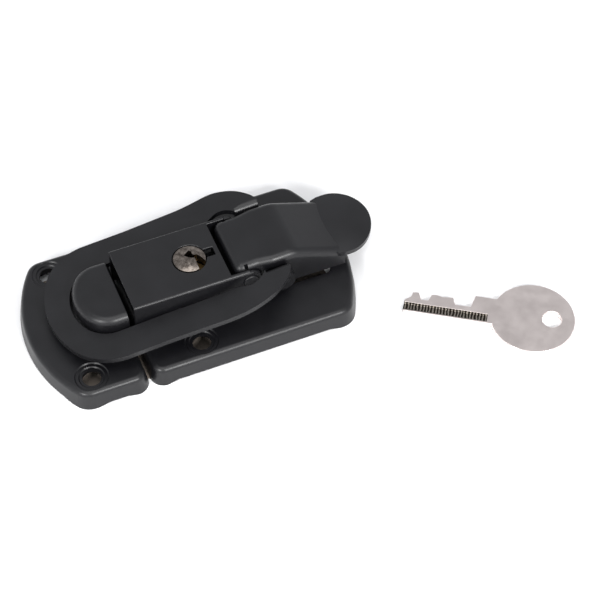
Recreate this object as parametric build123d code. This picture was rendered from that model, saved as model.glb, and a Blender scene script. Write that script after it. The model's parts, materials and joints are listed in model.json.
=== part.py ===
from build123d import *
import os
from math import atan, cos, radians, sin, sqrt

# Surface-mounted over-centre toggle latch with a key cylinder, shown closed.
# Millimetres. +X runs from the keeper to the lever's finger tab, +Y across, +Z up.
# The origin is on the mounting plane, midway between the base plate's two screw holes.

# Both stamped plates
HALF_W = 23.2
PLATE_H = 5.3
SHEET = 1.5
DRAFT = 9.0
CORNER_R = 3.6
CROWN_CORNER_R = 5.0
EDGE_R = 1.4
RIM_LIFT = 0.7
RIM_FOOT = 3.4
RIM_RAMP = 3.0
SCREW_R = 2.4
SEAT_RS = (4.3, 3.3)
SEAT_STEP = 0.3
SEAT_EASE = 0.25
SCREW_Y = 17.3

BASE_LEFT = -14.8
BASE_CORNER = 38.8
BASE_CROWN = 45.8
TAIL_WINDOW = (12.7, 22.0, 7.7)
LEVER_WINDOW = (21.5, 39.0, 9.3)
WINDOW_CORNER_R = 2.0
KEEPER_RIGHT = -15.35
KEEPER_CORNER = -32.6
KEEPER_CROWN = -40.7
KEEPER_SCREW_X = -28.9

# Keeper hook
HOOK_RIGHT = -15.9
HOOK_LEFT = -27.1
HOOK_HALF = 9.8
HOOK_NOSE_R = 12.0
HOOK_CORNER_R = 7.5
HOOK_TOP = 13.9
HOOK_ROUND = 2.0
HOOK_WALL = 1.6
UNDERCUT = 0.4
UNDERCUT_Z = (7.3, 9.4)
HOOK_RIVET_Y = 4.0
HOOK_RIVET_X = -21.4
RIVET_R = 1.5
RIVET_HEAD_R = 2.5
RIVET_HEAD_H = 0.9
RIVET_TAIL_R = 2.3
RIVET_TAIL_H = 0.8

# Lock housing
HOUSING_LEFT = -14.5
HOUSING_RIGHT = 11.5
HOUSING_HALF = 9.9
HOUSING_TOP = 16.3
HOUSING_SHEET = 1.0
HOUSING_EDGE_R = 0.6
EAR_R = 3.2
TAB_XS = (-9.0, 7.5)
TAB_LONG = 4.0
NOTCH_XS = (7.6, 10.3)
NOTCH_YS = (-1.1, 1.55)
NOTCH_DEEP = 5.0

# Lever and its pivots
PIVOT_C = (16.3, 12.8)
PIVOT_B = (24.4, 10.6)
PIN_C_R = 1.6
PIN_C_HEAD_R = 2.1
PIN_C_HEAD_H = 0.5
PIN_C_HEAD_EASE = 0.3
PIN_B_R = 1.4
PIN_B_HEAD_R = 1.85
PIN_B_HEAD_H = 0.6
WASHER_R = 2.8
RUNNING = 0.05
LEVER_SHEET = 1.3
LEVER_LEFT = 12.9
LEVER_TOP = 17.7
LEVER_RISE = 0.045
LEVER_BEND = 2.2
LEVER_BREAK = 28.5
LEVER_SLOPE = 0.41
FLANGE_END = 42.3
FLANGE_LOW = 7.2
EAR_FLANGE_LOW = 9.6
LEVER_NARROW = 8.6
LEVER_WIDE = 9.3
LEVER_FLARE_XS = (18.8, 22.8)
LEVER_FLARE_R = 5.0
LEVER_KNEE_R = 7.0
LEVER_END_EASE = 0.1
LEVER_EDGE_R = 2.0
EAR_FLANGE_RIGHT = 19.6
RELIEF_XS = (15.3, 16.2)
RELIEF_YS = (7.5, 9.4)
RELIEF_LOW = 15.0
TAIL_HALF = 2.5
TAIL_LOW = 1.9
TAB_TIP = 52.5
TAB_ROOT = 40.2
TAB_SHOULDER = 42.0
TAB_HALF = 9.9
TAB_NOSE_R = 10.4
TAB_CORNER_R = 7.5
TAB_DOME_X = 46.5
TAB_DOME_Z = 13.2
TAB_DOME_R = 60.0

# Draw loop
LOOP_SHEET = 1.5
LOOP_SLOPE = 0.084
LOOP_Z = 12.12
LOOP_LEFT = -34.0
LOOP_HALF = 18.4
LOOP_NOSE_R = 23.5
LOOP_CORNER_R = 14.0
ARM_START = -8.0
LOOP_STEP = 2.4
LOOP_STEP_XS = (9.0, 19.5)
LOOP_RIGHT = 26.2
WINDOW_GAP = 0.75
LUG_INNER = 10.1
LUG_R = 3.3
LUG_LEFT = 19.9
LOOP_BEND = 2.0
LOOP_KNEE_R = 36.0

# Key cylinder
PLUG_X = 3.6
PLUG_R = 4.1
PLUG_TOP = 16.95
PLUG_DOME_R = 11.8
PLUG_LOW = 3.6
PLUG_HOLE_R = 4.4
BODY_R = 5.4
FLANGE_R = 6.5
SPIGOT_R = 4.9
FLANGE_H = 1.0
CAM_Z = (2.4, 3.6)
CAM_FINGER = (11.9, 13.1)
CAM_HUB_R = 4.4
CAM_ARM_W = 4.0
CAM_ARM_TURN = -127.0
CAM_FINGER_TURNS = (-138, -78)
TENON = 3.6
CAM_SCREW_R = 1.0
CAM_SCREW_HEAD_R = 2.3
CAM_SCREW_HEAD_H = 1.0
CAM_SCREW_CROSS = (3.0, 0.6, 0.9)
CAM_WASHER_R = 3.6
CAM_WASHER_T = 0.3
WAFER_COUNT = 5
WAFER_STEP = 1.9
WAFER_TOP_Z = 13.5
WAFER = (7.2, 2.9, 0.8)
WAFER_WINDOW = (4.4, 1.7)
WAFER_SLOT = (7.3, 3.0, 0.95)
KEYWAY_FLOOR = 1.2
KEYWAY_TURN = -50.0

# Key, lying on the mounting plane
KEY_CENTRE = (81.3, -39.8)
KEY_TURN = -33.3
KEY_THICK = 1.5
KEY_BOW_R = 10.7
KEY_HOLE_R = 2.5
KEY_HOLE = (4.8, 0.5)
KEY_TIP = -33.0
KEY_GROOVE_RIGHT = -11.5
KEY_GROOVE_Y = -2.2
KEY_GROOVE_W = 2.2
KEY_GROOVE_DEEP = 0.6


def box(x0, x1, y0, y1, z0, z1):
    """Block between two opposite corners."""
    size = (x1 - x0, y1 - y0, z1 - z0)
    return Pos((x0 + x1) / 2, (y0 + y1) / 2, (z0 + z1) / 2) * Box(*size)


def post(x, y, radius, z0, z1):
    """Upright cylinder from z0 to z1."""
    return Pos(x, y, (z0 + z1) / 2) * Cylinder(radius, z1 - z0)


def cross_rod(pivot, radius, y0, y1):
    """Cylinder along Y through a pivot given as (x, z)."""
    return Pos(pivot[0], (y0 + y1) / 2, pivot[1]) * Rot(90, 0, 0) * Cylinder(radius, y1 - y0)


def side_face(points):
    """Face in the XZ plane from (x, z) corners."""
    return Plane.XZ * Polygon(*points, align=None)


def across(face, y0, y1):
    """Carry a face in the XZ plane from y0 to y1."""
    return Pos(0, y0, 0) * extrude(face, y1 - y0, dir=(0, 1, 0))


def rise(face, height):
    """Carry a level face straight up."""
    return extrude(face, height, dir=(0, 0, 1))


def both_sides(solid):
    """A solid and its mirror image across the centre line."""
    return solid + mirror(solid, Plane.XZ)


def d_face(x_flat, x_nose, half, nose_r, corner_r):
    """D-shaped face: straight edge at x_flat, shallow arc to x_nose, eased corners."""
    way = 1 if x_nose > x_flat else -1
    x_corner = x_nose - way * (nose_r - sqrt(nose_r**2 - half**2))
    outline = Curve() + [
        Line((x_flat, -half), (x_corner, -half)),
        ThreePointArc((x_corner, -half), (x_nose, 0), (x_corner, half)),
        Line((x_corner, half), (x_flat, half)),
        Line((x_flat, half), (x_flat, -half)),
    ]
    face = make_face(outline.edges())
    return fillet([v for v in face.vertices() if abs(v.X - x_corner) < 0.01], corner_r)


def plate_outline(x_flat, x_corner, x_crown):
    """Plate outline: one straight end, one end bowed out to x_crown."""
    outline = Curve() + [
        Line((x_flat, -HALF_W), (x_corner, -HALF_W)),
        ThreePointArc((x_corner, -HALF_W), (x_crown, 0), (x_corner, HALF_W)),
        Line((x_corner, HALF_W), (x_flat, HALF_W)),
        Line((x_flat, HALF_W), (x_flat, -HALF_W)),
    ]
    face = make_face(outline.edges())
    face = fillet([v for v in face.vertices() if abs(v.X - x_flat) < 0.01], CORNER_R)
    return fillet([v for v in face.vertices() if abs(v.X - x_corner) < 0.01], CROWN_CORNER_R)


def pan(x_flat, x_corner, x_crown):
    """Stamped pan: drafted rim, rounded top edge, rim lifted between its corners."""
    outline = plate_outline(x_flat, x_corner, x_crown)
    outer = extrude(outline, PLATE_H, dir=(0, 0, 1), taper=DRAFT)
    outer = fillet(outer.edges().group_by(Axis.Z)[-1], EDGE_R)
    inner = extrude(offset(outline, -SHEET), PLATE_H - SHEET, dir=(0, 0, 1), taper=DRAFT)
    x_min = min(x_flat, x_corner)
    x_max = max(x_flat, x_corner)
    sides = across(side_face(rim_lift(x_min, x_max)), -HALF_W - 1, HALF_W + 1)
    reach = max(abs(x_flat), abs(x_crown)) + 1
    end_face = Plane.YZ * Polygon(*rim_lift(-HALF_W, HALF_W), align=None)
    ends = Pos(-reach, 0, 0) * extrude(end_face, 2 * reach, dir=(1, 0, 0))
    return outer - inner - sides - ends


def rim_lift(low, high):
    """Flat-topped wedge that raises a rim between feet at its two ends."""
    foot = RIM_FOOT
    flat = RIM_FOOT + RIM_RAMP
    return [
        (low + foot, -1),
        (low + foot, 0),
        (low + flat, RIM_LIFT),
        (high - flat, RIM_LIFT),
        (high - foot, 0),
        (high - foot, -1),
    ]


def screw_seat(x, y):
    """Two coined rings, one inside the other, that step down to a screw hole."""
    opening = post(x, y, SCREW_R, 0, PLATE_H)
    for count, radius in enumerate(SEAT_RS, start=1):
        low = PLATE_H - count * SEAT_STEP
        opening += Pos(x, y, low + SEAT_STEP / 2) * Cone(radius - SEAT_EASE, radius, SEAT_STEP)
    return opening


def with_screw_seats(plate, x):
    """Add the two screw seats of a plate, one each side of the centre line."""
    for y in (-SCREW_Y, SCREW_Y):
        plate -= screw_seat(x, y)
    return plate


def keeper_plate():
    """Left plate, with two holes for the hook's rivets."""
    facing = pan(-KEEPER_RIGHT, -KEEPER_CORNER, -KEEPER_CROWN)
    plate = with_screw_seats(mirror(facing, Plane.YZ), KEEPER_SCREW_X)
    for y in (-HOOK_RIVET_Y, HOOK_RIVET_Y):
        plate -= post(HOOK_RIVET_X, y, RIVET_R, 0, PLATE_H + 1)
    return plate


def hook_outline(grow):
    """D outline of the hook, grown outwards by the given amount on its curved side."""
    radii = (HOOK_NOSE_R + grow, HOOK_CORNER_R + grow)
    return d_face(HOOK_RIGHT, HOOK_LEFT - grow, HOOK_HALF + grow, *radii)


def keeper_hook():
    """Domed D-shaped hook, hollow from its straight end, with a groove for the loop."""
    outer = rise(Pos(0, 0, PLATE_H) * hook_outline(0), HOOK_TOP - PLATE_H)
    top = outer.edges().group_by(Axis.Z)[-1]
    curved = [e for e in top if (e @ 0.5).X < HOOK_RIGHT - 0.1]
    outer = fillet(curved, HOOK_ROUND)
    low, high = UNDERCUT_Z
    core = Pos(0, 0, low) * hook_outline(-UNDERCUT)
    groove = rise(Pos(0, 0, low) * hook_outline(3), high - low) - rise(core, high - low)
    cavity_z = PLATE_H + SHEET
    cavity = rise(Pos(0, 0, cavity_z) * hook_outline(-HOOK_WALL), HOOK_TOP - HOOK_WALL - cavity_z)
    hook = outer - groove - cavity
    for y in (-HOOK_RIVET_Y, HOOK_RIVET_Y):
        hook -= post(HOOK_RIVET_X, y, RIVET_R, PLATE_H, cavity_z)
    return hook


def hook_rivets():
    """Two rivets through the hook's floor and the keeper plate."""
    rivets = []
    floor = PLATE_H + SHEET
    under = PLATE_H - SHEET
    for y in (-HOOK_RIVET_Y, HOOK_RIVET_Y):
        shank = post(HOOK_RIVET_X, y, RIVET_R, under - RIVET_TAIL_H, floor + RIVET_HEAD_H)
        head = post(HOOK_RIVET_X, y, RIVET_HEAD_R, floor, floor + RIVET_HEAD_H)
        tail = post(HOOK_RIVET_X, y, RIVET_TAIL_R, under - RIVET_TAIL_H, under)
        rivets.append(shank + head + tail)
    return Compound(rivets)


def base_plate():
    """Right plate: screw seats, lock hole, slots for the housing's tabs, lever window."""
    plate = with_screw_seats(pan(BASE_LEFT, BASE_CORNER, BASE_CROWN), 0.0)
    plate -= post(PLUG_X, 0, SPIGOT_R + RUNNING, 0, PLATE_H + 1)
    slot_in = HOUSING_HALF - HOUSING_SHEET - RUNNING
    slot_out = HOUSING_HALF + RUNNING
    half = TAB_LONG / 2 + RUNNING
    for x in TAB_XS:
        plate -= both_sides(box(x - half, x + half, slot_in, slot_out, 0, PLATE_H + 1))
    return plate - window_block(*TAIL_WINDOW) - window_block(*LEVER_WINDOW)


def window_block(x_left, x_right, half):
    """Round-cornered block that cuts one part of the base plate's window."""
    block = box(x_left, x_right, -half, half, 0, PLATE_H + 1)
    return fillet(block.edges().filter_by(Axis.Z), WINDOW_CORNER_R)


def lock_housing():
    """Inverted U channel whose side walls run on as the ears of the lever pivot."""
    wall = side_face(
        [
            (HOUSING_LEFT, PLATE_H),
            (PIVOT_C[0], PLATE_H),
            (PIVOT_C[0], HOUSING_TOP),
            (HOUSING_LEFT, HOUSING_TOP),
        ]
    )
    ear = Plane.XZ * Pos(PIVOT_C[0], PIVOT_C[1]) * Circle(EAR_R)
    block = across(wall + ear, -HOUSING_HALF, HOUSING_HALF)
    long_top = block.edges().filter_by(Axis.X).group_by(Axis.Z)[-1]
    block = fillet(long_top, HOUSING_EDGE_R)
    inner = HOUSING_HALF - HOUSING_SHEET
    block -= box(HOUSING_LEFT - 1, 30, -inner, inner, 0, HOUSING_TOP - HOUSING_SHEET)
    block -= box(HOUSING_RIGHT, 30, -inner, inner, 0, HOUSING_TOP + 1)
    block -= post(PLUG_X, 0, PLUG_HOLE_R, PLATE_H, HOUSING_TOP + 1)
    block -= notch()
    block -= cross_rod(PIVOT_C, PIN_C_R, -HOUSING_HALF - 1, HOUSING_HALF + 1)
    for x in TAB_XS:
        tab = box(x - TAB_LONG / 2, x + TAB_LONG / 2, inner, HOUSING_HALF, PLATE_H - SHEET, PLATE_H)
        block += both_sides(tab)
    return block


def notch():
    """Square notch beside the plug, cut through the housing and into the lock body."""
    return box(*NOTCH_XS, *NOTCH_YS, HOUSING_TOP - NOTCH_DEEP, HOUSING_TOP + 1)


def lever_top_z(x):
    """Height of the lever's top face along its centre line, ahead of the finger tab."""
    rising = LEVER_RISE * max(0.0, LEVER_BREAK - x)
    return LEVER_TOP - rising - LEVER_SLOPE * max(0.0, x - LEVER_BREAK)


def lever_plan(inset, x_left, x_right):
    """Lever outline from above: narrow between the ears, then flaring."""
    narrow = LEVER_NARROW - inset
    wide = LEVER_WIDE - inset
    start, end = LEVER_FLARE_XS
    half = [(x_left, narrow), (start, narrow), (end, wide), (x_right, wide + LEVER_END_EASE)]
    face = Polygon(*half, *[(x, -y) for x, y in reversed(half)], align=None)
    flares = [v for v in face.vertices() if x_left + 1 < v.X < x_right - 1]
    return fillet(flares, LEVER_FLARE_R)


def lever_side(drop, x_left, x_right, z_low, bend):
    """Lever outline from the side: rounded end, flat top, slope down to the tab."""
    face = side_face(
        [
            (x_left, z_low),
            (x_left, lever_top_z(x_left) - drop),
            (LEVER_BREAK, LEVER_TOP - drop),
            (x_right, lever_top_z(x_right) - drop),
            (x_right, z_low),
        ]
    )
    corner = [v for v in face.vertices() if v.X < x_left + 1 and v.Z > z_low + 1]
    face = fillet(corner, bend)
    knee = [v for v in face.vertices() if abs(v.X - LEVER_BREAK) < 0.5 and v.Z > z_low + 1]
    return fillet(knee, LEVER_KNEE_R)


def finger_tab():
    """Crowned sheet with a round end, a thin cap cut from a large ball."""
    side = [(TAB_ROOT, LEVER_WIDE + LEVER_END_EASE), (TAB_SHOULDER, TAB_HALF)]
    throat = Polygon(*side, *[(x, -y) for x, y in reversed(side)], align=None)
    end = d_face(TAB_SHOULDER, TAB_TIP, TAB_HALF, TAB_NOSE_R, TAB_CORNER_R)
    blank = rise(throat + end, TAB_DOME_Z + 1)
    centre = Pos(TAB_DOME_X, 0, TAB_DOME_Z - TAB_DOME_R)
    cap = centre * Sphere(TAB_DOME_R) - centre * Sphere(TAB_DOME_R - LEVER_SHEET)
    return blank & cap


def lever():
    """Stamped lever: end wall with lock tail, side flanges, sloped neck, finger tab."""
    tall = LEVER_TOP + 1
    span = LEVER_WIDE + 1
    outer = rise(lever_plan(0, LEVER_LEFT, FLANGE_END), tall)
    outer &= across(lever_side(0, LEVER_LEFT, FLANGE_END, FLANGE_LOW, LEVER_BEND), -span, span)
    rims = [e for e in outer.edges() if is_top_rim(e)]
    outer = fillet(rims, LEVER_EDGE_R)
    t = LEVER_SHEET
    inner = rise(lever_plan(t, LEVER_LEFT + t, FLANGE_END + 1), tall)
    hollow = lever_side(t, LEVER_LEFT + t, FLANGE_END + 1, 0, LEVER_BEND - t)
    inner &= across(hollow, -span, span)
    shell = outer - inner
    shell -= box(LEVER_LEFT - 1, EAR_FLANGE_RIGHT, -span, span, 0, EAR_FLANGE_LOW)
    shell += box(LEVER_LEFT, LEVER_LEFT + t, -TAIL_HALF, TAIL_HALF, TAIL_LOW, EAR_FLANGE_LOW)
    shell -= both_sides(box(*RELIEF_XS, *RELIEF_YS, RELIEF_LOW, tall))
    shell += finger_tab()
    shell -= cross_rod(PIVOT_C, PIN_C_R + RUNNING, -span, span)
    shell -= cross_rod(PIVOT_B, PIN_B_R + RUNNING, -span, span)
    return shell


def is_top_rim(edge):
    """True for the lever's long upper edges, where the flanges turn down."""
    mid = edge @ 0.5
    above = mid.Z > lever_top_z(mid.X) - LEVER_BEND
    upright = abs((edge @ 0).Z - (edge @ 1).Z) > 2 and abs((edge @ 0).X - (edge @ 1).X) < 0.5
    return abs(mid.Y) > 6 and above and not upright


def lever_pivot_pin():
    """Pin across the ears, peened at both ends."""
    reach = HOUSING_HALF + PIN_C_HEAD_H
    pin = cross_rod(PIVOT_C, PIN_C_R, -reach, reach)
    head = cross_rod(PIVOT_C, PIN_C_HEAD_R, HOUSING_HALF, reach)
    head = fillet(head.edges().group_by(Axis.Y)[-1], PIN_C_HEAD_EASE)
    return pin + both_sides(head)


def loop_outline():
    """Outline of the loop from above: round left end, arms that widen, then round in."""
    arm = [(10.5, 19.0), (18.5, 18.2), (21.5, 16.9), (24.0, 15.0), (LOOP_RIGHT, 11.8)]
    near = [(x, -y) for x, y in arm]
    outline = Curve() + [
        Line((ARM_START, LOOP_HALF), (ARM_START, -LOOP_HALF)),
        Line((ARM_START, -LOOP_HALF), near[0]),
        Spline(*near, tangents=((1, -0.03), (0.3, 1))),
        Line(near[-1], arm[-1]),
        Spline(*reversed(arm), tangents=((-0.3, 1), (-1, -0.03))),
        Line(arm[0], (ARM_START, LOOP_HALF)),
    ]
    end = d_face(ARM_START, LOOP_LEFT, LOOP_HALF, LOOP_NOSE_R, LOOP_CORNER_R)
    return make_face(outline.edges()) + end


def loop_window():
    """Opening between the arms: round the hook, wider beside the ears, open at the right."""
    half = HOOK_HALF + WINDOW_GAP
    arm = [(9.5, half + 0.4), (15.4, 12.5), (LUG_LEFT, LUG_INNER)]
    near = [(x, -y) for x, y in arm]
    far_right = LOOP_RIGHT + 3
    outline = Curve() + [
        Line((ARM_START, half), (ARM_START, -half)),
        Line((ARM_START, -half), near[0]),
        Spline(*near, tangents=((1, 0), (0.6, 1))),
        Line(near[-1], (far_right, -LUG_INNER)),
        Line((far_right, -LUG_INNER), (far_right, LUG_INNER)),
        Line((far_right, LUG_INNER), arm[-1]),
        Spline(*reversed(arm), tangents=((-0.6, 1), (-1, 0))),
        Line(arm[0], (ARM_START, half)),
    ]
    radii = (HOOK_NOSE_R + WINDOW_GAP, HOOK_CORNER_R + WINDOW_GAP)
    end = d_face(ARM_START, HOOK_LEFT - WINDOW_GAP, half, *radii)
    return make_face(outline.edges()) + end


def loop_height(x):
    """Height of the loop's top face: a tilted plane, raised by one step in the arms."""
    start, end = LOOP_STEP_XS
    part_way = min(1.0, max(0.0, (x - start) / (end - start)))
    return LOOP_Z + LOOP_SLOPE * x + LOOP_STEP * part_way


def loop():
    """Draw loop: sheet with stepped arms and a lug bent down from each inner edge."""
    xs = (-40.0, *LOOP_STEP_XS, 30.0)
    top = [(x, loop_height(x)) for x in xs]
    under = [(x, loop_height(x) - LOOP_SHEET) for x in reversed(xs)]
    band = side_face(top + under)
    knees = [v for v in band.vertices() if -39 < v.X < 29]
    band = fillet(knees, LOOP_KNEE_R)
    plate = rise(loop_outline() - loop_window(), 30) & across(band, -30, 30)
    inside = LOOP_SHEET / 2
    lug = side_face(
        [
            (LUG_LEFT, loop_height(LUG_LEFT) - inside),
            (LUG_LEFT, loop_height(LUG_LEFT) - 3),
            (PIVOT_B[0] - LUG_R, PIVOT_B[1]),
            (PIVOT_B[0] + LUG_R, PIVOT_B[1]),
            (LOOP_RIGHT, loop_height(LOOP_RIGHT) - 3),
            (LOOP_RIGHT, loop_height(LOOP_RIGHT) - inside),
        ]
    )
    lug += Plane.XZ * Pos(*PIVOT_B) * Circle(LUG_R)
    body = plate + both_sides(across(lug, LUG_INNER, LUG_INNER + LOOP_SHEET))
    body -= both_sides(loop_bend_waste())
    return body - cross_rod(PIVOT_B, PIN_B_R + RUNNING, -20, 20)


def loop_bend_waste():
    """What the bend between an arm's top face and its lug leaves off the square corner."""
    tilt = atan(LOOP_SLOPE)
    along = (cos(tilt), 0, sin(tilt))
    start = (0, LUG_INNER + LOOP_BEND, LOOP_Z + LOOP_STEP)
    level = Plane(origin=start, x_dir=along, z_dir=(-sin(tilt), 0, cos(tilt)))
    corner = box(LUG_LEFT, LOOP_RIGHT + 2, -LOOP_BEND - 1, 0, -LOOP_BEND, 1)
    rod = Pos(LUG_LEFT, 0, -LOOP_BEND) * Rot(0, 90, 0) * Cylinder(LOOP_BEND, 20)
    return level * (corner - rod)


def loop_pivot_pin():
    """Pin through the lever's flanges and the loop's lugs, headed at both ends."""
    outer = LUG_INNER + LOOP_SHEET + RUNNING
    reach = outer + PIN_B_HEAD_H
    pin = cross_rod(PIVOT_B, PIN_B_R, -reach, reach)
    return pin + both_sides(cross_rod(PIVOT_B, PIN_B_HEAD_R, outer, reach))


def loop_washers():
    """Spacing washers between the lever's flanges and the loop's lugs."""
    inner = LEVER_WIDE + LEVER_END_EASE + RUNNING
    outer = LUG_INNER - RUNNING
    ring = cross_rod(PIVOT_B, WASHER_R, inner, outer) - cross_rod(PIVOT_B, PIN_B_R, inner, outer)
    return Compound([ring, mirror(ring, Plane.XZ)])


def lock_body():
    """Sleeve of the key cylinder, with its flange, cut by the square notch."""
    flange_z = HOUSING_TOP - HOUSING_SHEET
    body = post(PLUG_X, 0, BODY_R, PLATE_H, flange_z)
    body += post(PLUG_X, 0, FLANGE_R, flange_z - FLANGE_H, flange_z)
    body += post(PLUG_X, 0, SPIGOT_R, PLATE_H - SHEET, PLATE_H)
    return body - post(PLUG_X, 0, PLUG_R + RUNNING, 0, HOUSING_TOP) - notch()


def plug_frame(z):
    """Place at height z on the plug's axis, turned to the key's direction."""
    return Pos(PLUG_X, 0, z) * Rot(0, 0, KEYWAY_TURN)


def lock_plug():
    """Domed plug with a warded keyway and slots for the wafers."""
    plug = post(PLUG_X, 0, PLUG_R, PLUG_LOW, PLUG_TOP + 1)
    plug &= Pos(PLUG_X, 0, PLUG_TOP - PLUG_DOME_R) * Sphere(PLUG_DOME_R) + post(PLUG_X, 0, 9, 0, 12)
    plug += Pos(PLUG_X, 0, (CAM_Z[0] + PLUG_LOW) / 2) * Box(TENON, TENON, PLUG_LOW - CAM_Z[0])
    keyway = Polygon(
        (0.69, 2.30),
        (-0.22, 1.68),
        (-1.13, 1.04),
        (-0.25, 0.04),
        (0.55, -0.46),
        (1.23, -0.58),
        (1.20, -4.50),
        (3.90, -2.60),
        (2.74, -0.47),
        (2.12, 0.25),
        (1.42, 0.31),
        (1.01, 0.66),
        (1.09, 1.52),
        align=None,
    )
    plug -= rise(Pos(PLUG_X, 0, PLUG_LOW + KEYWAY_FLOOR) * keyway, PLUG_TOP)
    for index in range(WAFER_COUNT):
        plug -= plug_frame(wafer_z(index)) * Box(*WAFER_SLOT)
    return plug - post(PLUG_X, 0, CAM_SCREW_R, 0, PLUG_LOW + 0.8)


def wafer_z(index):
    """Height of the middle of one wafer, counted from the key's side."""
    return WAFER_TOP_Z - WAFER_STEP * index


def wafer(index):
    """Thin tumbler plate with a window for the key."""
    plate = Box(*WAFER) - Box(*WAFER_WINDOW, 2)
    return plug_frame(wafer_z(index)) * plate


def lock_cam():
    """Hook-shaped cam: its finger swings in behind the lever's tail when turned."""
    low, high = CAM_Z
    r_in, r_out = CAM_FINGER
    start, end = CAM_FINGER_TURNS
    middle = (start + end) / 2
    hub = Circle(CAM_HUB_R)
    arm_shape = Pos(r_out / 2 - 0.3, 0) * Rectangle(r_out - 0.6, CAM_ARM_W)
    arm = Rot(0, 0, CAM_ARM_TURN) * arm_shape
    ring = Circle(r_out) - Circle(r_in)
    sector = Polygon((0, 0), polar(20, start), polar(22, middle), polar(20, end), align=None)
    shape = hub + arm + (ring & sector) - Rectangle(TENON + 0.04, TENON + 0.04)
    return rise(Pos(PLUG_X, 0, low) * shape, high - low)


def polar(radius, angle):
    """Point at a radius and an angle in degrees."""
    return (radius * cos(radians(angle)), radius * sin(radians(angle)))


def cam_washer():
    """Thin washer between the cam and its screw."""
    low = CAM_Z[0] - CAM_WASHER_T
    disc = post(PLUG_X, 0, CAM_WASHER_R, low, CAM_Z[0])
    return disc - post(PLUG_X, 0, CAM_SCREW_R + RUNNING, 0, 3)


def cam_screw():
    """Cross-slotted screw that holds the cam on the plug."""
    low = CAM_Z[0] - CAM_WASHER_T
    head_low = low - CAM_SCREW_HEAD_H
    screw = post(PLUG_X, 0, CAM_SCREW_R, low, PLUG_LOW + 0.8)
    screw += post(PLUG_X, 0, CAM_SCREW_HEAD_R, head_low, low)
    for turn in (0, 90):
        screw -= Pos(PLUG_X, 0, head_low) * Rot(0, 0, turn) * Box(*CAM_SCREW_CROSS)
    return screw


def key():
    """Flat key: round bow with a hole, blade with square cuts and one milled groove."""
    tip = KEY_TIP
    blade = Polygon(
        (0, 4.3),
        (-15.3, 4.3),
        (-16.0, 0.6),
        (-20.0, 0.5),
        (-20.8, 2.7),
        (-23.6, 2.3),
        (-25.0, 2.7),
        (-26.4, 2.5),
        (-27.0, 0.5),
        (-28.8, 0.5),
        (-29.6, 2.6),
        (-31.2, 2.5),
        (-31.5, 1.0),
        (tip, -0.3),
        (tip, -3.4),
        (tip + 0.6, -3.9),
        (0, -3.9),
        align=None,
    )
    shape = blade + Circle(KEY_BOW_R)
    shape -= Pos(*KEY_HOLE) * Circle(KEY_HOLE_R)
    solid = rise(shape, KEY_THICK)
    low = KEY_GROOVE_Y - KEY_GROOVE_W / 2
    high = KEY_GROOVE_Y + KEY_GROOVE_W / 2
    groove_z = KEY_THICK - KEY_GROOVE_DEEP
    groove = box(tip - 1, KEY_GROOVE_RIGHT, low, high, groove_z, KEY_THICK + 1)
    return Pos(KEY_CENTRE[0], KEY_CENTRE[1], 0) * Rot(0, 0, KEY_TURN) * (solid - groove)


def main():
    os.makedirs("parts", exist_ok=True)
    nodes = {
        "keeper_plate": keeper_plate(),
        "keeper_hook": keeper_hook(),
        "hook_rivets": hook_rivets(),
        "base_plate": base_plate(),
        "lock_housing": lock_housing(),
        "lever": lever(),
        "lever_pivot_pin": lever_pivot_pin(),
        "loop": loop(),
        "loop_pivot_pin": loop_pivot_pin(),
        "loop_washers": loop_washers(),
        "lock_body": lock_body(),
        "lock_plug": lock_plug(),
        "lock_cam": lock_cam(),
        "cam_washer": cam_washer(),
        "cam_screw": cam_screw(),
        "key": key(),
    }
    for index in range(WAFER_COUNT):
        nodes[f"wafer_{index + 1}"] = wafer(index)
    for name, shape in nodes.items():
        export_step(shape, f"parts/{name}.step")


main()
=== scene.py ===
import json
from math import cos, radians, sin

import bmesh
import bpy
import numpy as np
from mathutils import Matrix, Vector


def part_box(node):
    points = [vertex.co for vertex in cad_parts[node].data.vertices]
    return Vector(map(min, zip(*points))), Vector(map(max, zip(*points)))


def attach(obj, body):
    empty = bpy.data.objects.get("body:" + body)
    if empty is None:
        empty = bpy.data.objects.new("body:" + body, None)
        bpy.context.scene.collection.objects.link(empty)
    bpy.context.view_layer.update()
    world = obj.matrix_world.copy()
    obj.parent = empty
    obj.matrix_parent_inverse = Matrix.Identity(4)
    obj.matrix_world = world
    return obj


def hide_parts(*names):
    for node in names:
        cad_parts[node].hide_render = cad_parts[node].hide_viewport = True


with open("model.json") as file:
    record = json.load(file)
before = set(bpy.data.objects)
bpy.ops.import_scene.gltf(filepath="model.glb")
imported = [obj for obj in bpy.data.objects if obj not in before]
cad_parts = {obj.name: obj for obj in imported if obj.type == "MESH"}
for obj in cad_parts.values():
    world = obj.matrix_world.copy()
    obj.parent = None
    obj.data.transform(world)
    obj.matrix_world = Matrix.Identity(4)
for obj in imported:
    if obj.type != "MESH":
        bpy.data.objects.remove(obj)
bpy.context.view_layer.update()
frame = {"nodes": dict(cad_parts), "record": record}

# Surface-mounted over-centre toggle latch with a key cylinder, black powder coat, and its key.
# Metres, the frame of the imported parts: +X from the keeper to the finger tab, +Z off the panel.

MM = 0.001

# The key lies turned on the panel; its axes and its milled groove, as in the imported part.
KEY_TURN = radians(-33.3)
KEY_CENTRE = Vector((81.3, -39.8, 0)) * MM
GROOVE_YS = (-3.3 * MM, -1.1 * MM)
GROOVE_RIGHT = -11.5 * MM
GROOVE_MARGIN = 0.1 * MM
GROOVE_LOWEST = 0.55

# A wave texture of scale 1 repeats every 0.314 m.
WAVE_LENGTH = 0.314


# ---------------------------------------------------------------- colour and node helpers


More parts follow.
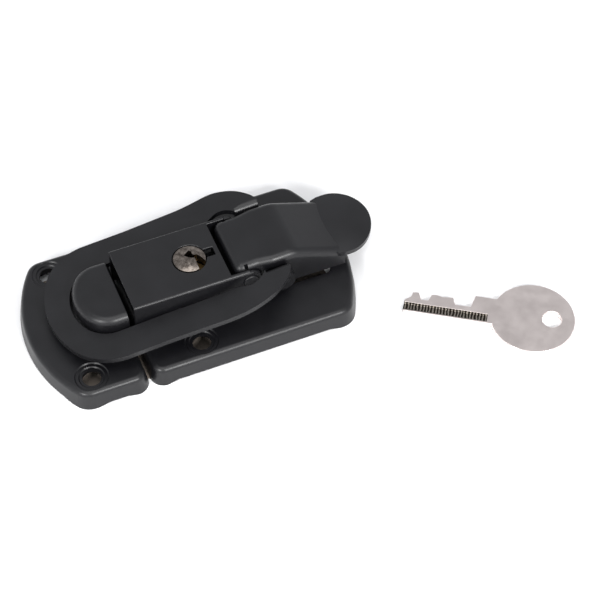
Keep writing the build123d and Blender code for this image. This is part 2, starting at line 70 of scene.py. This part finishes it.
def linear(hex_colour):
    """sRGB hex such as "#1a1a1b" to a linear RGBA tuple."""
    value = hex_colour.lstrip("#")
    srgb = np.array([int(value[i : i + 2], 16) for i in (0, 2, 4)]) / 255
    rgb = np.where(srgb <= 0.04045, srgb / 12.92, ((srgb + 0.055) / 1.055) ** 2.4)
    return (*[float(c) for c in rgb], 1.0)


def add(tree, kind, settings=(), links=()):
    """Add one node: settings are {input or attribute: value}, links are {input: output socket}."""
    node = tree.nodes.new(kind)
    for name, value in dict(settings).items():
        if isinstance(name, str) and hasattr(node, name) and name not in node.inputs:
            setattr(node, name, value)
        else:
            node.inputs[name].default_value = value
    for name, source in dict(links).items():
        tree.links.new(source, node.inputs[name])
    return node


def new_material(name):
    """An empty node material, and its tree."""
    material = bpy.data.materials.new(name)
    material.use_nodes = True
    material.node_tree.nodes.clear()
    return material, material.node_tree


def close(tree, shader):
    """Send a shader to the material's surface."""
    add(tree, "ShaderNodeOutputMaterial", links={"Surface": shader.outputs[0]})


def per_mm(size):
    """Texture scale, in cells per metre, of a pattern whose cells are size millimetres."""
    return 1.0 / (size * MM)


# ---------------------------------------------------------------- materials


def powder_coat():
    """Black satin polyester powder coat, sprayed and baked on steel.

    The eye sees a soft, slightly mottled sheen: a fine orange peel of flow marks, about
    0.9 mm apart, over a grain of 0.22 mm, and a few pale specks of lint.
    """
    material, tree = new_material("powder_coat_satin_black_baked")
    place = add(tree, "ShaderNodeTexCoord").outputs["Object"]
    peel = add(
        tree,
        "ShaderNodeTexNoise",
        {"Scale": per_mm(0.9), "Detail": 1.5, "Roughness": 0.45},
        {"Vector": place},
    )
    grain = add(
        tree,
        "ShaderNodeTexNoise",
        {"Scale": per_mm(0.22), "Detail": 2.0, "Roughness": 0.6},
        {"Vector": place},
    )
    cloud = add(
        tree,
        "ShaderNodeTexNoise",
        {"Scale": per_mm(9.0), "Detail": 3.0, "Roughness": 0.55},
        {"Vector": place},
    )
    lint = add(
        tree,
        "ShaderNodeTexVoronoi",
        {"Scale": per_mm(7.5), "Randomness": 1.0},
        {"Vector": place},
    )
    speck = add(
        tree,
        "ShaderNodeMapRange",
        {"From Min": 0.0, "From Max": 0.035, "To Min": 1.0, "To Max": 0.0},
        {"Value": lint.outputs["Distance"]},
    )
    shade = add(
        tree,
        "ShaderNodeMix",
        {"data_type": "RGBA", 6: linear("#09090b"), 7: linear("#101014")},
        {0: cloud.outputs["Fac"]},
    )
    dusted = add(
        tree,
        "ShaderNodeMix",
        {"data_type": "RGBA", 7: linear("#77746f")},
        {0: speck.outputs["Result"], 6: shade.outputs[2]},
    )
    rough = add(
        tree,
        "ShaderNodeMapRange",
        {"From Min": 0.3, "From Max": 0.7, "To Min": 0.36, "To Max": 0.46},
        {"Value": cloud.outputs["Fac"]},
    )
    fine = add(
        tree,
        "ShaderNodeBump",
        {"Strength": 0.25, "Distance": 0.02 * MM},
        {"Height": grain.outputs["Fac"]},
    )
    flow = add(
        tree,
        "ShaderNodeBump",
        {"Strength": 0.35, "Distance": 0.03 * MM},
        {"Height": peel.outputs["Fac"], "Normal": fine.outputs["Normal"]},
    )
    shader = add(
        tree,
        "ShaderNodeBsdfPrincipled",
        {"IOR": 1.5},
        {
            "Base Color": dusted.outputs[2],
            "Roughness": rough.outputs["Result"],
            "Normal": flow.outputs["Normal"],
        },
    )
    close(tree, shader)
    return material


def satin_nickel():
    """Nickel plate on a stamped and lightly tumbled brass key blank.

    The eye sees a warm pale metal with a soft sheen, faint clouds 4 mm wide and a fine grit.
    """
    material, tree = new_material("nickel_plate_satin_tumbled")
    place = add(tree, "ShaderNodeTexCoord").outputs["Object"]
    cloud = add(
        tree,
        "ShaderNodeTexNoise",
        {"Scale": per_mm(4.0), "Detail": 4.0, "Roughness": 0.6},
        {"Vector": place},
    )
    grit = add(
        tree,
        "ShaderNodeTexNoise",
        {"Scale": per_mm(0.25), "Detail": 3.0, "Roughness": 0.7},
        {"Vector": place},
    )
    colour = add(
        tree,
        "ShaderNodeMix",
        {"data_type": "RGBA", 6: linear("#ded3cf"), 7: linear("#ece3e0")},
        {0: cloud.outputs["Fac"]},
    )
    rough = add(
        tree,
        "ShaderNodeMapRange",
        {"From Min": 0.3, "From Max": 0.7, "To Min": 0.32, "To Max": 0.44},
        {"Value": cloud.outputs["Fac"]},
    )
    bump = add(
        tree,
        "ShaderNodeBump",
        {"Strength": 0.3, "Distance": 0.012 * MM},
        {"Height": grit.outputs["Fac"]},
    )
    shader = add(
        tree,
        "ShaderNodeBsdfPrincipled",
        {"Metallic": 1.0},
        {
            "Base Color": colour.outputs[2],
            "Roughness": rough.outputs["Result"],
            "Normal": bump.outputs["Normal"],
        },
    )
    close(tree, shader)
    return material


def near_black_casting_painted_shade():
    """Zinc die casting of the lock body, coloured near black as painted shade for the dark gap round
    the plug and the notch beside it: matt, slightly mottled.
    """
    material, tree = new_material("zinc_die_casting_near_black_painted_shade")
    place = add(tree, "ShaderNodeTexCoord").outputs["Object"]
    skin = add(
        tree,
        "ShaderNodeTexNoise",
        {"Scale": per_mm(0.5), "Detail": 3.0},
        {"Vector": place},
    )
    # Near-black tones: painted shade of the gap and notch, with a faint random mottle.
    colour = add(
        tree,
        "ShaderNodeMix",
        {"data_type": "RGBA", 6: linear("#060606"), 7: linear("#101010")},
        {0: skin.outputs["Fac"]},
    )
    bump = add(
        tree,
        "ShaderNodeBump",
        {"Strength": 0.4, "Distance": 0.02 * MM},
        {"Height": skin.outputs["Fac"]},
    )
    shader = add(
        tree,
        "ShaderNodeBsdfPrincipled",
        {"IOR": 1.5, "Roughness": 0.7},
        {"Base Color": colour.outputs[2], "Normal": bump.outputs["Normal"]},
    )
    close(tree, shader)
    return material


def handled_nickel():
    """Nickel plate on the plug, worn and dulled by use.

    The eye sees a brownish grey metal with darker clouds 1.3 mm wide and pits 0.4 mm across.
    """
    material, tree = new_material("nickel_plate_worn_plug")
    place = add(tree, "ShaderNodeTexCoord").outputs["Object"]
    cloud = add(
        tree,
        "ShaderNodeTexNoise",
        {"Scale": per_mm(1.3), "Detail": 5.0, "Roughness": 0.65},
        {"Vector": place},
    )
    pits = add(
        tree,
        "ShaderNodeTexNoise",
        {"Scale": per_mm(0.4), "Detail": 3.0, "Roughness": 0.7},
        {"Vector": place},
    )
    tone = add(
        tree,
        "ShaderNodeMapRange",
        {"From Min": 0.35, "From Max": 0.65, "To Min": 0.0, "To Max": 1.0},
        {"Value": cloud.outputs["Fac"]},
    )
    colour = add(
        tree,
        "ShaderNodeMix",
        {"data_type": "RGBA", 6: linear("#4f4843"), 7: linear("#9a9189")},
        {0: tone.outputs["Result"]},
    )
    rough = add(
        tree,
        "ShaderNodeMapRange",
        {"From Min": 0.3, "From Max": 0.7, "To Min": 0.20, "To Max": 0.32},
        {"Value": pits.outputs["Fac"]},
    )
    bump = add(
        tree,
        "ShaderNodeBump",
        {"Strength": 0.35, "Distance": 0.015 * MM},
        {"Height": pits.outputs["Fac"]},
    )
    shader = add(
        tree,
        "ShaderNodeBsdfPrincipled",
        {"Metallic": 1.0},
        {
            "Base Color": colour.outputs[2],
            "Roughness": rough.outputs["Result"],
            "Normal": bump.outputs["Normal"],
        },
    )
    close(tree, shader)
    return material


def groove_painted_shade():
    """Groove milled along the key: its dark ground is painted shade, broken by pale cutter marks
    across it.

    The marks are about 0.8 mm apart along the key, coarser than a cutter's, so that they show.
    """
    material, tree = new_material("nickel_groove_painted_shade")
    place = add(tree, "ShaderNodeTexCoord").outputs["Object"]
    along = add(
        tree,
        "ShaderNodeMapping",
        {"Rotation": (0.0, 0.0, -KEY_TURN)},
        {"Vector": place},
    )
    marks = add(
        tree,
        "ShaderNodeTexWave",
        {"Scale": per_mm(0.8) * WAVE_LENGTH, "Distortion": 3.0, "Detail": 2.0, "Detail Scale": 1.5},
        {"Vector": along.outputs["Vector"]},
    )
    tone = add(
        tree,
        "ShaderNodeMapRange",
        {"From Min": 0.45, "From Max": 1.05, "To Min": 0.0, "To Max": 0.85},
        {"Value": marks.outputs["Fac"]},
    )
    # Dark end: painted shade in the groove; pale end: the metal of the cutter marks.
    colour = add(
        tree,
        "ShaderNodeMix",
        {"data_type": "RGBA", 6: linear("#2f2a24"), 7: linear("#c4bcb2")},
        {0: tone.outputs["Result"]},
    )
    bump = add(
        tree,
        "ShaderNodeBump",
        {"Strength": 0.7, "Distance": 0.05 * MM},
        {"Height": marks.outputs["Fac"]},
    )
    shader = add(
        tree,
        "ShaderNodeBsdfPrincipled",
        {"Metallic": 1.0, "Roughness": 0.34},
        {"Base Color": colour.outputs[2], "Normal": bump.outputs["Normal"]},
    )
    close(tree, shader)
    return material


def zinc_plate():
    """Bright zinc plate on steel: a cool, faintly blue metal with small streaks."""
    material, tree = new_material("zinc_plate_bright_steel")
    place = add(tree, "ShaderNodeTexCoord").outputs["Object"]
    streak = add(
        tree,
        "ShaderNodeTexNoise",
        {"Scale": per_mm(1.2), "Detail": 4.0, "Roughness": 0.6},
        {"Vector": place},
    )
    colour = add(
        tree,
        "ShaderNodeMix",
        {"data_type": "RGBA", 6: linear("#aeb2b6"), 7: linear("#c8cacb")},
        {0: streak.outputs["Fac"]},
    )
    rough = add(
        tree,
        "ShaderNodeMapRange",
        {"From Min": 0.3, "From Max": 0.7, "To Min": 0.26, "To Max": 0.4},
        {"Value": streak.outputs["Fac"]},
    )
    shader = add(
        tree,
        "ShaderNodeBsdfPrincipled",
        {"Metallic": 1.0},
        {"Base Color": colour.outputs[2], "Roughness": rough.outputs["Result"]},
    )
    close(tree, shader)
    return material


def stamped_brass():
    """Brass strip, blanked by a press and greased: yellow metal, browned and dulled."""
    material, tree = new_material("brass_strip_blanked_greased")
    place = add(tree, "ShaderNodeTexCoord").outputs["Object"]
    dull = add(
        tree,
        "ShaderNodeTexNoise",
        {"Scale": per_mm(0.8), "Detail": 3.0},
        {"Vector": place},
    )
    colour = add(
        tree,
        "ShaderNodeMix",
        {"data_type": "RGBA", 6: linear("#4d3f26"), 7: linear("#6b5836")},
        {0: dull.outputs["Fac"]},
    )
    shader = add(
        tree,
        "ShaderNodeBsdfPrincipled",
        {"Metallic": 1.0, "Roughness": 0.38},
        {"Base Color": colour.outputs[2]},
    )
    close(tree, shader)
    return material


def studio_floor():
    """Matt white paper sweep: no gloss, an even white."""
    material, tree = new_material("paper_sweep_matt_white")
    place = add(tree, "ShaderNodeTexCoord").outputs["Object"]
    fibre = add(
        tree,
        "ShaderNodeTexNoise",
        {"Scale": per_mm(3.0), "Detail": 2.0},
        {"Vector": place},
    )
    colour = add(
        tree,
        "ShaderNodeMix",
        {"data_type": "RGBA", 6: linear("#f6f6f7"), 7: linear("#fafafa")},
        {0: fibre.outputs["Fac"]},
    )
    shader = add(
        tree,
        "ShaderNodeBsdfPrincipled",
        {"Roughness": 0.95, "Specular IOR Level": 0.1},
        {"Base Color": colour.outputs[2]},
    )
    close(tree, shader)
    return material


def dress(node, material):
    """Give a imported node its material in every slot."""
    mesh = frame["nodes"][node].data
    if not mesh.materials:
        mesh.materials.append(material)
    for index in range(len(mesh.materials)):
        mesh.materials[index] = material


# ---------------------------------------------------------------- pieces with eased edges

FLAT = radians(0.2)
EDGE = radians(32)
WELD = 0.001 * MM
EASES = {"lock_housing": 0.25, "keeper_hook": 0.25}
KEY_EASE = 0.18


def eased(node, radius, material):
    """Stand-in for a sharp-edged node: the same solid with every hard edge rolled over.

    The node's triangles are merged into whole faces, then each edge sharper than EDGE is
    replaced by a quarter round of the given radius, in millimetres.
    """
    source = frame["nodes"][node]
    shell = bmesh.new()
    shell.from_mesh(source.data)
    bmesh.ops.remove_doubles(shell, verts=shell.verts, dist=WELD)
    bmesh.ops.dissolve_limit(shell, angle_limit=FLAT, verts=shell.verts, edges=shell.edges)
    corners = np.array([v.co for v in shell.verts])
    faces = [[v.index for v in f.verts] for f in shell.faces]
    shell.free()
    mesh = bpy.data.meshes.new(node + "_eased")
    mesh.from_pydata(corners.tolist(), [], faces)
    mesh.shade_smooth()
    mesh.materials.append(material)
    piece = bpy.data.objects.new(node + "_eased", mesh)
    bpy.context.scene.collection.objects.link(piece)
    roll = piece.modifiers.new("rolled_edges", "BEVEL")
    roll.width = radius * MM
    roll.segments = 3
    roll.limit_method = "ANGLE"
    roll.angle_limit = EDGE
    roll.use_clamp_overlap = False
    even = piece.modifiers.new("flat_faces_first", "WEIGHTED_NORMAL")
    even.keep_sharp = False
    stand_for(piece, node)
    return piece


def stand_for(piece, node):
    """The piece rides with the node's body and hides it."""
    bodies = frame["record"]["behaviour"]["bodies"]
    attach(piece, next(body for body, nodes in bodies.items() if node in nodes))
    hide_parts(node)


def eased_key(plate, groove):
    """The key with eased edges, its milled groove in a second material.

    A face is in the groove if its middle, in the key's own axes, is between the groove's sides,
    left of its right end, and between GROOVE_LOWEST of the key's thickness and its top.
    """
    piece = eased("key", KEY_EASE, plate)
    mesh = piece.data
    mesh.materials.append(groove)
    middles = np.empty(len(mesh.polygons) * 3)
    mesh.polygons.foreach_get("center", middles)
    middles = middles.reshape(-1, 3) - np.array(KEY_CENTRE)
    turned = np.array(Matrix.Rotation(-KEY_TURN, 3, "Z")) @ middles.T
    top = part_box("key")[1].z
    in_groove = (
        (turned[0] < GROOVE_RIGHT + GROOVE_MARGIN)
        & (turned[1] > GROOVE_YS[0] - GROOVE_MARGIN)
        & (turned[1] < GROOVE_YS[1] + GROOVE_MARGIN)
        & (turned[2] < top - GROOVE_MARGIN)
        & (turned[2] > top * GROOVE_LOWEST)
    )
    mesh.polygons.foreach_set("material_index", in_groove.astype(np.int32))
    return piece


# ---------------------------------------------------------------- camera, floor and light

AIM = Vector((28.895, -11.495, 0.7)) * MM
CAMERA_AWAY = 491.86 * MM
CAMERA_AZIMUTH = radians(-22.634)
CAMERA_HEIGHT = radians(52.43)
CAMERA_ROLL = radians(0.31)
CAMERA_LENS = 115.045
SENSOR = 36.0
FLOOR_HALF = 3.0
FLOOR_DROP = 0.02 * MM
SHADE_SHEET_INSET = 3.5 * MM


def from_angles(azimuth, elevation):
    """Unit vector that points away from the object towards a place round it."""
    level = cos(elevation)
    return Vector((sin(azimuth) * level, -cos(azimuth) * level, sin(elevation)))


def camera():
    """Camera at a long lens, aimed at the middle of the latch and its key."""
    data = bpy.data.cameras.new("studio_camera")
    data.lens = CAMERA_LENS
    data.sensor_width = SENSOR
    data.clip_start = 0.01
    data.clip_end = 20.0
    back = from_angles(CAMERA_AZIMUTH, CAMERA_HEIGHT)
    level = Vector((cos(CAMERA_AZIMUTH), sin(CAMERA_AZIMUTH), 0))
    raised = back.cross(level)
    right = level * cos(CAMERA_ROLL) + raised * sin(CAMERA_ROLL)
    up = raised * cos(CAMERA_ROLL) - level * sin(CAMERA_ROLL)
    turn = Matrix((right, up, back)).transposed().to_4x4()
    holder = bpy.data.objects.new("studio_camera", data)
    holder.matrix_world = Matrix.Translation(AIM + back * CAMERA_AWAY) @ turn
    bpy.context.scene.collection.objects.link(holder)
    bpy.context.scene.camera = holder


def sheet(name, xs, ys, z, material):
    """Flat rectangle for the stage, between two x and two y values, at height z."""
    corners = [(xs[0], ys[0], z), (xs[1], ys[0], z), (xs[1], ys[1], z), (xs[0], ys[1], z)]
    mesh = bpy.data.meshes.new(name)
    mesh.from_pydata(corners, [], [(0, 1, 2, 3)])
    mesh.materials.append(material)
    rectangle = bpy.data.objects.new(name, mesh)
    bpy.context.scene.collection.objects.link(rectangle)


def floor():
    """A large sheet just under the latch."""
    sheet("floor", (-FLOOR_HALF, FLOOR_HALF), (-FLOOR_HALF, FLOOR_HALF), -FLOOR_DROP, studio_floor())


def painted_shade_sheet_material():
    """Grey-brown matt sheet, painted shade of the white floor in the latch's shadow, with a faint
    fibre 1 mm wide.
    """
    material, tree = new_material("painted_shade_grey_brown")
    place = add(tree, "ShaderNodeTexCoord").outputs["Object"]
    fibre = add(tree, "ShaderNodeTexNoise", {"Scale": per_mm(1.0)}, {"Vector": place})
    colour = add(
        tree,
        "ShaderNodeMix",
        {"data_type": "RGBA", 6: linear("#6e655d"), 7: linear("#7f766d")},
        {0: fibre.outputs["Fac"]},
    )
    shader = add(
        tree,
        "ShaderNodeBsdfPrincipled",
        {"Roughness": 0.9},
        {"Base Color": colour.outputs[2]},
    )
    close(tree, shader)
    return material


def painted_shade_sheet():
    """A grey-brown sheet under both plates, painting the floor's shade there, seen through their
    holes and windows and the gap between them.
    """
    low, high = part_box("base_plate")
    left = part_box("keeper_plate")[0].x
    xs = (left + SHADE_SHEET_INSET * 2, high.x - SHADE_SHEET_INSET * 2)
    # The grey-brown sheet is painted shade: the floor under the plates is white, only shadowed.
    sheet("painted_shade_sheet", xs, (low.y + SHADE_SHEET_INSET, high.y - SHADE_SHEET_INSET), 0, painted_shade_sheet_material())


def soft_box(name, azimuth, elevation, away, size, power):
    """Square white area light that faces the latch from a direction, given in degrees."""
    data = bpy.data.lights.new(name, "AREA")
    data.shape = "SQUARE"
    data.size = size
    data.energy = power
    towards = from_angles(radians(azimuth), radians(elevation))
    lamp = bpy.data.objects.new(name, data)
    facing = towards.to_track_quat("Z", "Y").to_matrix().to_4x4()
    lamp.matrix_world = Matrix.Translation(towards * away) @ facing
    bpy.context.scene.collection.objects.link(lamp)


def surroundings():
    """White studio: bright towards the horizon, dimmer overhead."""
    world = bpy.data.worlds.new("studio")
    bpy.context.scene.world = world
    world.use_nodes = True
    tree = world.node_tree
    tree.nodes.clear()
    place = add(tree, "ShaderNodeTexCoord").outputs["Generated"]
    height = add(tree, "ShaderNodeSeparateXYZ", links={0: place})
    fade = add(
        tree,
        "ShaderNodeMapRange",
        {"From Min": 0.0, "From Max": 0.8, "To Min": 0.95, "To Max": 0.5},
        {"Value": height.outputs["Z"]},
    )
    glow = add(
        tree,
        "ShaderNodeBackground",
        {"Color": linear("#fbfcff")},
        {"Strength": fade.outputs["Result"]},
    )
    add(tree, "ShaderNodeOutputWorld", links={"Surface": glow.outputs[0]})


def lights():
    """The white studio, two small soft boxes in front and a large one overhead.

    Each soft box has azimuth and elevation in degrees, distance and side in metres, and watts.
    """
    surroundings()
    soft_box("front_left_box", -52, 34, 0.9, 0.16, 4.5)
    soft_box("front_right_box", 12, 36, 0.9, 0.16, 5.5)
    soft_box("overhead_box", -20, 82, 1.2, 0.8, 5.0)


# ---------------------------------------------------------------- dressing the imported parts

coat = powder_coat()
nickel = satin_nickel()
FINISHES = {
    "black_coat": coat,
    # The lock body's near black is painted shade for the gap round the plug and its notch.
    "black_casting": near_black_casting_painted_shade(),
    "nickel": nickel,
    "zinc_steel": zinc_plate(),
    "brass": stamped_brass(),
}
for part in frame["record"]["subparts"]:
    dress(part["node"], FINISHES[part["material_slot"]])
dress("lock_plug", handled_nickel())

for node, radius in EASES.items():
    eased(node, radius, coat)
eased_key(nickel, groove_painted_shade())

camera()
floor()
painted_shade_sheet()
lights()
bpy.context.scene.view_settings.view_transform = "Standard"
